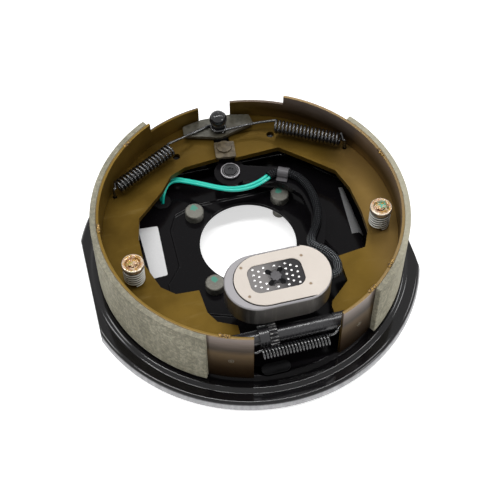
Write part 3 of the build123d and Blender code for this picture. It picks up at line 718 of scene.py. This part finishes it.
# Leads and sleeve: routes of control points, from the grommet to the strap and on to the magnet
LEAD_RADIUS = 1.35
LEAD_SPACING = 2.8
LEAD_ROUTE = [
    (-60.0, 58.0, 17.0), (-60.0, 58.0, 31.0), (-50.0, 72.5, 33.5), (-30.0, 60.5, 36.0),
    (-6.5, 42.0, 41.4), (10.0, 40.6, 41.2), (22.5, 43.6, 41.6), (31.0, 48.4, 41.8),
]
SLEEVE_RADIUS = 3.4
WEAVE_LENGTH = 0.0040
WEAVE_ROUND = 7
SLEEVE_ROUTE = [
    (29.0, 47.6, 41.8), (36.2, 51.4, 41.8), (50.465, 43.987, 41.8), (55.6, 36.0, 41.8), (58.6, 26.5, 41.8),
    (59.6, 15.0, 41.8), (58.5, 2.5, 41.8), (54.5, -9.0, 41.8), (48.0, -18.0, 42.2), (43.5, -26.0, 44.3),
    (44.5, -33.0, 46.5), (51.5, -40.0, 48.5), (56.5, -50.5, 50.0), (55.5, -62.0, 53.5), (50.5, -70.0, 57.2),
    (41.0, -71.0, 59.4),
]


def routed(name, points):
    """A smooth open curve with the given control points, without thickness."""
    curve = bpy.data.curves.new(name, "CURVE")
    curve.dimensions = "3D"
    curve.resolution_u = 10
    spline = curve.splines.new("NURBS")
    spline.points.add(len(points) - 1)
    for control, point in zip(spline.points, points):
        control.co = (*mm(*point), 1)
    spline.order_u = 3
    spline.use_endpoint_u = True
    return linked(name, curve)


def line_points(line):
    """The points of a curve that has no thickness."""
    mesh = bpy.data.meshes.new_from_object(line)
    points = [vertex.co.copy() for vertex in mesh.vertices]
    bpy.data.meshes.remove(mesh)
    return points


def as_tube(line, radius, sides):
    """Gives a routed curve its round section and makes it a mesh."""
    line.data.bevel_depth = radius / 1000
    line.data.bevel_resolution = sides
    line.data.use_fill_caps = True
    return smooth(face_out(as_mesh(line), 0.000001), 60)


def add_cord(name, route, radius, sides, look, node):
    """A lead or a sleeve along a route, dressed and attached to no body."""
    line = routed(name, route)
    path = line_points(line)
    tube = as_tube(line, radius, sides)
    finish_stretched(tube, look, node)
    return tube, path


def wrap_braid(tube, path):
    """Writes a map for the weave: strands along the sleeve and strands round it."""
    braid = tube.data.uv_layers.new(name="Braid")
    steps = [after - before for before, after in zip(path, path[1:])]
    directions = [step.normalized() for step in steps + steps[-1:]]
    distances = [0.0]
    for step in steps:
        distances.append(distances[-1] + step.length)
    places = []
    for vertex in tube.data.vertices:
        nearest = min(range(len(path)), key=lambda index: (path[index] - vertex.co).length_squared)
        offset = vertex.co - path[nearest]
        side = directions[nearest].cross(Vector((0, 0, 1))).normalized()
        rise = side.cross(directions[nearest])
        turn = atan2(offset.dot(rise), offset.dot(side)) / (2 * pi)
        places.append((distances[nearest] + offset.dot(directions[nearest]), turn))
    for polygon in tube.data.polygons:
        angles = [places[index][1] for index in polygon.vertices]
        for loop, index, angle in zip(polygon.loop_indices, polygon.vertices, angles):
            if angle < max(angles) - 0.5:
                angle += 1
            braid.data[loop].uv = (places[index][0] / WEAVE_LENGTH, angle * WEAVE_ROUND)


for side, name in ((-0.5, "lower_lead"), (0.5, "upper_lead")):
    shift = side * LEAD_SPACING
    add_cord(name, [(x - shift * 0.3, y + shift, z) for x, y, z in LEAD_ROUTE], LEAD_RADIUS, 5,
             "lead_insulation", "lead_wires")
wrap_braid(*add_cord("braided_sleeve", SLEEVE_ROUTE, SLEEVE_RADIUS, 6, "braided_sleeve", "lead_sleeve"))


def coil_frame(start, end, first):
    """A matrix whose Z runs from one point to another and whose X points to the first turn."""
    axis = (mm(*end) - mm(*start)).normalized()
    side = Vector(first)
    side = (side - axis * side.dot(axis)).normalized()
    across = axis.cross(side)
    turn = Matrix((side, across, axis)).transposed().to_4x4()
    return Matrix.Translation(mm(*start)) @ turn


def round_coil(name, start, end, first, radius, wire, turns, sides=8, steps=20):
    """A coil of round wire between two points, turned from a small circle."""
    length = (mm(*end) - mm(*start)).length
    bpy.ops.mesh.primitive_circle_add(vertices=sides, radius=wire / 1000, fill_type="NOTHING",
                                      location=(radius / 1000, 0, 0), rotation=(pi / 2, 0, 0))
    piece = settle(named(name))
    modify(piece, "SCREW", axis="Z", angle=2 * pi, screw_offset=length / turns, iterations=turns,
           steps=steps, render_steps=steps, use_merge_vertices=True)
    edit(piece)
    bpy.ops.mesh.select_all(action="DESELECT")
    bpy.ops.mesh.select_non_manifold()
    bpy.ops.mesh.fill_holes(sides=sides)
    bpy.ops.mesh.select_all(action="SELECT")
    bpy.ops.mesh.normals_make_consistent(inside=False)
    done()
    piece.data.transform(coil_frame(start, end, first))
    return smooth(piece, 60)


# Return springs: the coils' level and the hooks' levels at the anchor's neck
COIL_Z = 52.825
RETURN_RADIUS = 4.95
RETURN_WIRE = 1.12
ANCHOR_NECK = 4.6
HOOK_CLEAR = 0.3
SECONDARY_HOOK_Z = 49.925
PRIMARY_HOOK_Z = SECONDARY_HOOK_Z + 1.95


def add_return_spring(side_name, ends, turns, hook_z, bend_place):
    """A return spring: round coil, a hook down through the web and a long hook round the anchor's neck."""
    name = side_name + "_return_coil"
    radius, wire = RETURN_RADIUS, RETURN_WIRE
    (x0, y0), (x1, y1) = ends
    length = hypot(x1 - x0, y1 - y0)
    dx, dy = (x1 - x0) / length, (y1 - y0) / length
    side = 1 if dx > 0 else -1
    first = Vector((-side * dy, side * dx, 1)).normalized()
    coil = round_coil(name, (x0, y0, COIL_Z), (x1, y1, COIL_Z), first, radius, wire, turns)
    rim = first * radius
    hook_x, hook_y = x1 + dx * 4.5, y1 + dy * 4.5
    outer = [
        (x1 + rim[0], y1 + rim[1], COIL_Z + rim[2]),
        (x1 + rim[0] * 0.7 + dx * 1.2, y1 + rim[1] * 0.7 + dy * 1.2, COIL_Z + rim[2] * 0.75),
        (x1 + dx * 2.4, y1 + dy * 2.4, COIL_Z + 0.6),
        (hook_x, hook_y, COIL_Z + 0.6),
        (hook_x, hook_y, COIL_Z - 3.0),
        (hook_x, hook_y, WEB_TOP + 0.5),
    ]
    loop = ANCHOR_NECK + wire + HOOK_CLEAR
    away = (bend_place[0], bend_place[1] - ANCHOR_Y)
    touch = atan2(away[1], away[0]) - acos(loop / hypot(*away))
    reach = loop / cos(radians(22.5))
    inner = [
        (x0 + rim[0], y0 + rim[1], COIL_Z + rim[2]),
        (x0 + rim[0] - dx * 1.6, y0 + rim[1] - dy * 1.6, COIL_Z + rim[2] * 0.9),
        (*bend_place, hook_z),
    ]
    for step in range(4):
        angle = touch - radians(22.5 + 45 * step)
        inner.append((reach * cos(angle), ANCHOR_Y + reach * sin(angle), hook_z))
    inner.append((loop * cos(touch - pi), ANCHOR_Y + loop * sin(touch - pi), hook_z))
    hooks = [as_tube(routed(name + "_hook", points), wire, 3) for points in (outer, inner)]
    piece = join([coil] + hooks)
    finish_stretched(piece, "spring_steel", side_name + "_return_spring")


add_return_spring("primary", ((46.5, 89.6), (94.7, 61.7)), 18, PRIMARY_HOOK_Z, (29.6, 98.4))
add_return_spring("secondary", ((-43.5, 87.0), (-94.0, 58.5)), 17, SECONDARY_HOOK_Z, (-24.0, 101.5))

# The adjuster's spring: its coil's two ends, the webs' holes and the top of the forks that it passes
ADJUSTER_COIL = (-19.0, 33.4)
ADJUSTER_COIL_Y = -114.4
ADJUSTER_RADIUS = 3.75
ADJUSTER_WIRE = 0.95
FORK_TOP = 43.825
LEFT_HOLE = (-36.5, -106.5)
RIGHT_HOLE = (54.5, -102.0)


def add_adjuster_spring():
    """The spring under the adjuster, hooked into a hole of each web."""
    (x0, x1), y, z = ADJUSTER_COIL, ADJUSTER_COIL_Y, STAR[2]
    radius, wire = ADJUSTER_RADIUS, ADJUSTER_WIRE
    lift = FORK_TOP + wire + HOOK_CLEAR
    coil = round_coil("adjuster_coil", (x0, y, z), (x1, y, z), (0, 0.4, 1), radius, wire, 21, steps=16)
    top_y, top_z = y + 0.371 * radius, z + 0.928 * radius
    left = [
        (x0, top_y, top_z), (x0 - 2.0, top_y, top_z - 0.4), (x0 - 5.0, y + 0.9, z + 1.6),
        (-30.5, -109.8, lift), (*LEFT_HOLE, lift + 0.6), (*LEFT_HOLE, lift - 1.5),
        (*LEFT_HOLE, WEB_TOP + 0.5),
    ]
    right = [
        (x1, top_y, top_z), (x1 + 1.8, top_y, top_z - 0.4), (38.5, -111.6, lift - 1.0),
        (44.5, -106.6, lift + 1.8), (*RIGHT_HOLE, lift + 3.4), (*RIGHT_HOLE, lift),
        (*RIGHT_HOLE, WEB_TOP + 0.5),
    ]
    hooks = [as_tube(routed("adjuster_hook", points), wire, 3) for points in (left, right)]
    piece = join([coil] + hooks)
    finish_piece(piece, "spring_steel", "frame", ["adjuster_spring"])


def upright_coil(name, place, low, high, *sizes):
    """A coil that stands between two levels."""
    return round_coil(name, (*place, low), (*place, high), (0, -1, 0), *sizes)


# Upright coils: low and high level, radius, wire, turns, sides and steps
HOLD_DOWN_COIL = (44.9, 61.6, 7.5, 0.85, 6, 12, 40)
LIFT_COIL = (39.7, 51.8, 10.5, 1.0, 3, 8, 36)
add_adjuster_spring()
for name, place in HOLD_DOWNS.items():
    turns = upright_coil(name + "_hold_down_coil", place, *HOLD_DOWN_COIL)
    finish_piece(turns, "bright_zinc", "frame", [name + "_hold_down_spring"])
turns = upright_coil("magnet_lift_coil", MAGNET, *LIFT_COIL)
finish_stretched(turns, "spring_steel",
                 "magnet_spring")

# CAD nodes whose edges are rounded, with the width in millimetres
ROUNDED = {
    "mounting_studs": 0.4, "anchor_plate": 0.6, "primary_web": 0.6, "secondary_web": 0.6,
    "lever_pivot_pin": 0.4, "lever_arm": 0.9, "magnet_post": 0.3, "magnet_housing": 0.4,
    "primary_hold_down_pin": 0.35, "primary_hold_down_cup": 0.3, "secondary_hold_down_pin": 0.35,
    "secondary_hold_down_cup": 0.3, "wire_grommet": 0.5, "adjuster_slot_plug": 0.4, "magnet_clip": 0.15,
    "primary_lining": 0.5, "secondary_lining": 0.5, "magnet_insert": 0.2, "adjuster_socket": 0.5,
    "star_screw": 0.25, "adjuster_nut": 0.5, "lever_retaining_ring": 0.4, "wire_strap": 0.25,
    "lever_link": 0.7, "lever_pin": 0.5, "primary_table": 0.45, "secondary_table": 0.45,
}
# Those of them whose look isn't their slot's
OWN_LOOKS = {
    "adjuster_socket": "adjuster_steel", "star_screw": "adjuster_steel", "adjuster_nut": "adjuster_steel",
    "lever_retaining_ring": "edge_banded_ring", "wire_strap": "button_steel", "lever_link": "bronzed_link",
    "lever_pin": "bronzed_link", "primary_table": "gold_table", "secondary_table": "gold_table",
}
softened("backing_plate", 1.3, segments=3, angle=50, clamp=False)
for node, width in ROUNDED.items():
    softened(node, width, OWN_LOOKS.get(node))

# Magnet face, insert and clip, in millimetres
RIM_Z = 72.9
INSERT_TOP = 72.6


def arc(centre, radius, first, last, steps):
    """Points along an arc, from one angle to another in degrees."""
    turns = [radians(first + (last - first) * step / steps) for step in range(steps + 1)]
    return [(centre[0] + radius * cos(turn), centre[1] + radius * sin(turn)) for turn in turns]


def rounded_outline(centre, size, corner):
    """The outline of a rectangle with round corners."""
    x, y = size[0] / 2 - corner, size[1] / 2 - corner
    points = []
    for side, (dx, dy) in enumerate(((x, y), (-x, y), (-x, -y), (x, -y))):
        points += arc((centre[0] + dx, centre[1] + dy), corner, side * 90, side * 90 + 90, 8)
    return points


def flat_plate(name, outlines, low, high, edge=0.25):
    """A plate between two levels, filled between its outlines, with softened edges."""
    curve = bpy.data.curves.new(name, "CURVE")
    curve.dimensions = "2D"
    curve.fill_mode = "BOTH"
    curve.extrude = (high - low) / 2000 - edge / 1000
    curve.bevel_depth = edge / 1000
    curve.bevel_resolution = 2
    curve.offset = -edge / 1000
    for outline in outlines:
        spline = curve.splines.new("POLY")
        spline.points.add(len(outline) - 1)
        for control, (x, y) in zip(spline.points, outline):
            control.co = (x / 1000, y / 1000, 0, 1)
        spline.use_cyclic_u = True
    plate = as_mesh(linked(name, curve))
    plate.location = mm(0, 0, (low + high) / 2)
    face_out(settle(plate), 0.000002)
    return smooth(plate, 35)


WINDOW = (3.0, -69.9)
WINDOW_SIZE = (42.0, 25.0)
CLIP = (2.6, -70.2)
CLIP_CLEAR = 8.6
DOT_PITCH = (4.15, 4.75)
DOT_REACH = (18.8, 10.6, 25.5)


def window_outline(margin, corner):
    """The window's outline, wider by a margin all round."""
    return rounded_outline(WINDOW, (WINDOW_SIZE[0] + 2 * margin, WINDOW_SIZE[1] + 2 * margin), corner)


def add_magnet_face():
    """The cream face: it laps over the housing's rim at one end and leaves a groove along both sides."""
    left, right, side_end = (-6.6, MAGNET[1]), (20.0, MAGNET[1]), 27.5
    lap, groove, opening = 24.5, 22.6, 90 - 17.8
    outline = arc(right, lap, -opening, opening, 40) + [(side_end, MAGNET[1] + groove)]
    outline += arc(left, groove, 90, 270, 48) + [(side_end, MAGNET[1] - groove)]
    window = window_outline(0, 7.6)
    face = flat_plate("magnet_face_pad", [outline, window], RIM_Z + 0.03, FACE_Z + 0.3)
    finish_piece(face, "friction_pad", "magnet", ["magnet_face"])
    liner = flat_plate("magnet_face_wall", [window_outline(1.2, 8.8), window], 70.95, RIM_Z + 0.03, 0.1)
    finish_piece(liner, "friction_pad", "magnet", ["magnet_face"])


def add_insert():
    """The insert under the window, with raised dots in staggered columns clear of the clip."""
    plate = flat_plate("insert_plate", [window_outline(0.8, 8.4)], 71.2, INSERT_TOP, 0.1)
    finish_piece(plate, "core_iron", "magnet", ["magnet_insert"])
    dot = sphere("insert_dot", 1.2, 14, 8)
    dot.scale = (1, 1, 0.5)
    settle(dot)
    copies = []
    for column in range(-4, 5):
        rows = range(-2, 3) if column % 2 == 0 else range(-2, 2)
        for row in rows:
            x = column * DOT_PITCH[0] + 0.4 * row
            y = (row + 0.5 * (column % 2)) * DOT_PITCH[1]
            if abs(x) > DOT_REACH[0] or abs(y) > DOT_REACH[1] or abs(x) + abs(y) > DOT_REACH[2]:
                continue
            if hypot(x + WINDOW[0] - CLIP[0], y + WINDOW[1] - CLIP[1]) < CLIP_CLEAR:
                continue
            copies.append(duplicate(dot, (WINDOW[0] + x, WINDOW[1] + y, INSERT_TOP + 0.02)))
    bpy.data.objects.remove(dot)
    dots = settle(join(copies))
    dots.name = "insert_dots"
    smooth(dots, 60)
    # The dots' pale finish is a painted highlight.
    finish_piece(dots, "glint_dot_tops", "magnet", [])


def add_clip():
    """The clip that holds the magnet: a scalloped button over four rounded claws."""
    profile = ((0, 1.3), (3.6, 1.2), (5.2, 1.7), (6.6, 2.1), (8.2, 1.8), (9.2, 0.8))
    profile += tuple((forward, -half) for forward, half in reversed(profile))
    claws = []
    for dx, dy in ((-5.2, 5.6), (4.9, 5.4), (-5.0, -5.6), (4.3, -5.6)):
        reach = hypot(dx, dy)
        along, across = (dx / reach, dy / reach), (-dy / reach, dx / reach)
        outline = []
        for forward, half in profile:
            x = CLIP[0] + along[0] * forward + across[0] * half
            outline.append((x, CLIP[1] + along[1] * forward + across[1] * half))
        claws.append(flat_plate("clip_claw", [outline], INSERT_TOP + 0.05, FACE_Z, 0.2))
    claws = join(claws)
    claws.name = "clip_claws"
    finish_piece(claws, "black_rubber", "magnet", ["magnet_clip"])
    rim = []
    for step in range(72):
        turn = step / 72 * 2 * pi
        radius = 4.1 + 0.35 * cos(turn * 8)
        rim.append((CLIP[0] + radius * cos(turn), CLIP[1] + radius * sin(turn)))
    button = flat_plate("clip_button", [rim], FACE_Z - 0.2, FACE_Z + 0.7)
    finish_piece(button, "button_steel", "magnet", ["magnet_clip"])


add_magnet_face()
add_insert()
add_clip()

# Anchor post: radius, low level and high level of each drum, then radius and level of the ball
ANCHOR_DRUMS = ((8.0, 6.8, 9.3), (6.0, 9.2, 12.4), (12.0, 12.3, 32.0), (9.5, 31.9, 45.8),
                (ANCHOR_NECK, 45.7, 56.0))
ANCHOR_BALL = (7.4, 60.9)


def add_anchor_post():
    """The anchor post: rivet head, rivet, two shoulders, neck and polished ball."""
    pieces = []
    for radius, low, high in ANCHOR_DRUMS:
        bpy.ops.mesh.primitive_cylinder_add(vertices=56, radius=radius / 1000, depth=(high - low) / 1000,
                                            location=mm(0, ANCHOR_Y, (low + high) / 2))
        drum = settle(named("anchor_drum"))
        pieces.append(modify(drum, "BEVEL", width=0.0003, segments=2, limit_method="ANGLE",
                             angle_limit=radians(40)))
    radius, level = ANCHOR_BALL
    pieces.append(settle(sphere("anchor_ball", radius, 56, 28, location=mm(0, ANCHOR_Y, level))))
    post = join(pieces)
    post.name = "anchor_post_polished"
    finish_piece(smooth(post, 40), "polished_steel", "frame", ["anchor_post"])


add_anchor_post()


def add_folded_label(name, lines, look):
    """A label folded over an edge: its bottom line, its fold and its top line, each of two points."""
    bpy.ops.mesh.primitive_grid_add(x_subdivisions=2, y_subdivisions=1, size=2)
    label = named(name)
    for vertex in label.data.vertices:
        ends = lines[round(vertex.co.x) + 1]
        vertex.co = Vector(ends[0 if vertex.co.y < 0 else 1]) / 1000
    modify(face_out(label, 0.000001), "SOLIDIFY", thickness=0.0003, offset=0.0)
    smooth(label, 60)
    finish_piece(label, look, "frame")


def add_label(name, corners, look):
    """A thin label between four corners, with its own corners rounded."""
    bpy.ops.mesh.primitive_plane_add(size=2)
    label = named(name)
    places = [Vector(point) / 1000 for point in corners]
    for vertex in label.data.vertices:
        u, v = (vertex.co.x + 1) / 2, (vertex.co.y + 1) / 2
        lower = places[0].lerp(places[1], u)
        upper = places[3].lerp(places[2], u)
        vertex.co = lower.lerp(upper, v)
    edit(label)
    bpy.ops.mesh.bevel(offset=0.0014, segments=4, affect="VERTICES")
    done()
    modify(label, "SOLIDIFY", thickness=0.00012, offset=1.0)
    smooth(label, 30)
    finish_piece(label, look, "frame")


# Bare labels: one flat on the plate and one folded down its side, the folded one painted dark grey as
# shade.
LABEL_Z = 21.83
add_label("left_label", [(-83.6, -15.2, LABEL_Z), (-70.4, -14.6, LABEL_Z), (-68.4, 34.8, LABEL_Z),
                         (-84.6, 36.0, LABEL_Z)], "white_label")
add_folded_label("right_label", (
    [(94.4, -12.5, 15.1), (92.0, 36, 18.9)],
    [(90.1, -12.5, 21.9), (90.1, 36, 21.9)],
    [(84.2, -12.5, 21.85), (87.6, 36, 21.85)],
), "shaded_label")

# Marks on the tables
TABLE_RADIUS = 120.35
BEAD_RADIUS = 118.6
LUMP_PITCH = 1.6
LUMP_TURN = LUMP_PITCH / 119


def add_spot_weld(name, body, angle, level):
    """A spot-weld mark on a table's outer face: a pressed ring with a low dome."""
    outward = Vector((cos(radians(angle)), sin(radians(angle)), 0))
    place = mm(*SHOE_CENTRES[body], level) + outward * TABLE_RADIUS / 1000
    turn = outward.to_track_quat("Z", "Y").to_euler()
    bpy.ops.mesh.primitive_torus_add(major_radius=0.0019, minor_radius=0.0004, major_segments=28,
                                     minor_segments=8, location=place, rotation=turn)
    ring = settle(named(name))
    dome = sphere("weld_dome", 1.0, 16, 8, location=place, rotation=turn)
    dome.scale = (1, 1, 0.45)
    settle(dome)
    mark = smooth(join([ring, dome]), 60)
    finish_piece(mark, "bronzed_link", body, [])


add_spot_weld("primary_spot_weld", "primary_shoe", -61.4, 38)
add_spot_weld("secondary_spot_weld", "secondary_shoe", -111.2, 38)


def add_weld_bead(name, body, angle, level, length):
    """A short lumpy bead along a table's edge."""
    x, y = SHOE_CENTRES[body]
    lump = sphere("weld_lump", 1.6, 20, 12)
    lumps = []
    count = round(length / (LUMP_PITCH + 0.1))
    for step in range(count):
        turn = radians(angle) + (step - (count - 1) / 2) * LUMP_TURN
        radius = BEAD_RADIUS + 0.35 * sin(step * 2.4)
        place = (x + radius * cos(turn), y + radius * sin(turn), level + 0.25 * cos(step * 1.7))
        copy = duplicate(lump, place)
        copy.scale = (0.95 + 0.25 * sin(step * 3.1), 0.9 + 0.2 * cos(step * 2.2), 0.75)
        lumps.append(copy)
    bpy.data.objects.remove(lump)
    bead = settle(join(lumps))
    bead.name = name
    modify(bead, "REMESH", mode="VOXEL", voxel_size=0.00028)
    modify(bead, "SMOOTH", factor=0.6, iterations=4)
    smooth(bead, 80)
    finish_piece(bead, "weld_metal", body, [])


# Each bead's shoe, angle in degrees, level and length in millimetres
BEADS = (
    ("secondary_shoe", 176.0, 69.9, 9), ("secondary_shoe", 246.5, 69.9, 8),
    ("secondary_shoe", 133.0, 69.8, 7), ("primary_shoe", 318.5, 69.9, 9),
    ("primary_shoe", 305.0, 69.9, 8), ("primary_shoe", 13.0, 69.9, 8),
)
for number, bead in enumerate(BEADS, 1):
    add_weld_bead("weld_bead_%d" % number, *bead)

# Floor and world: even white to the eye and in reflections, softer as light
FLOOR_GLOW = 0.62
SKY_STRENGTH = 0.72
bpy.ops.mesh.primitive_plane_add(size=6, location=(0, 0, -0.0002))
floor = named("floor")
floor_paint = Finish("pale_floor")
floor_paint.set(Base_Color=(0.8, 0.8, 0.8), Roughness=0.9, Specular_IOR_Level=0.1)
floor_paint.set(Emission_Color=floor_paint.direct(), Emission_Strength=FLOOR_GLOW)
floor.data.materials.append(floor_paint.material)

world = bpy.data.worlds.new("studio")
bpy.context.scene.world = world
world.use_nodes = True
studio = Nodes(world.node_tree)
studio.tree.nodes.clear()
view = studio.node("ShaderNodeTexCoord").outputs["Generated"]
height = Value(studio, studio.node("ShaderNodeSeparateXYZ", None, {0: view}).outputs["Z"])
overhead = 1 - height.rise(0.35, 0.80) * 0.78
sky, white = (
    studio.node("ShaderNodeBackground", None, {"Color": colour, "Strength": strength}).outputs[0]
    for colour, strength in ((overhead, SKY_STRENGTH), ((1, 1, 1), 1.0))
)
choice = studio.node("ShaderNodeMixShader", None, {0: studio.direct(), 1: sky, 2: white})
studio.node("ShaderNodeOutputWorld", None, {"Surface": choice.outputs[0]})

# Rectangular lamps turned to the middle of the brake: place, size and power
SOFTBOXES = {
    "left_softbox": ((-0.85, 0.30, 0.95), (0.34, 0.16), 3.0),
    "right_softbox": ((0.95, 0.15, 0.85), (0.30, 0.16), 2.0),
    "front_right_softbox": ((0.90, -0.75, 0.50), (0.34, 0.20), 2.2),
    "back_softbox": ((0.36, 1.05, 0.95), (0.30, 0.12), 1.1),
    "overhead_strip": ((0.0, 0.08, 1.2), (1.5, 0.07), 10.0),
}
for name, (place, size, power) in SOFTBOXES.items():
    light = bpy.data.lights.new(name, "AREA")
    light.shape = "RECTANGLE"
    light.size, light.size_y = size
    light.energy = power
    lamp = linked(name, light)
    lamp.location = place
    lamp.rotation_euler = (Vector(place) - AIM).to_track_quat("Z", "Y").to_euler()

# The CAD nodes that no piece stands for keep their shape and get their slot's finish
for node, cad in frame["nodes"].items():
    for slot in cad.material_slots:
        slot.material = finishes[slot_of_node[node]].material
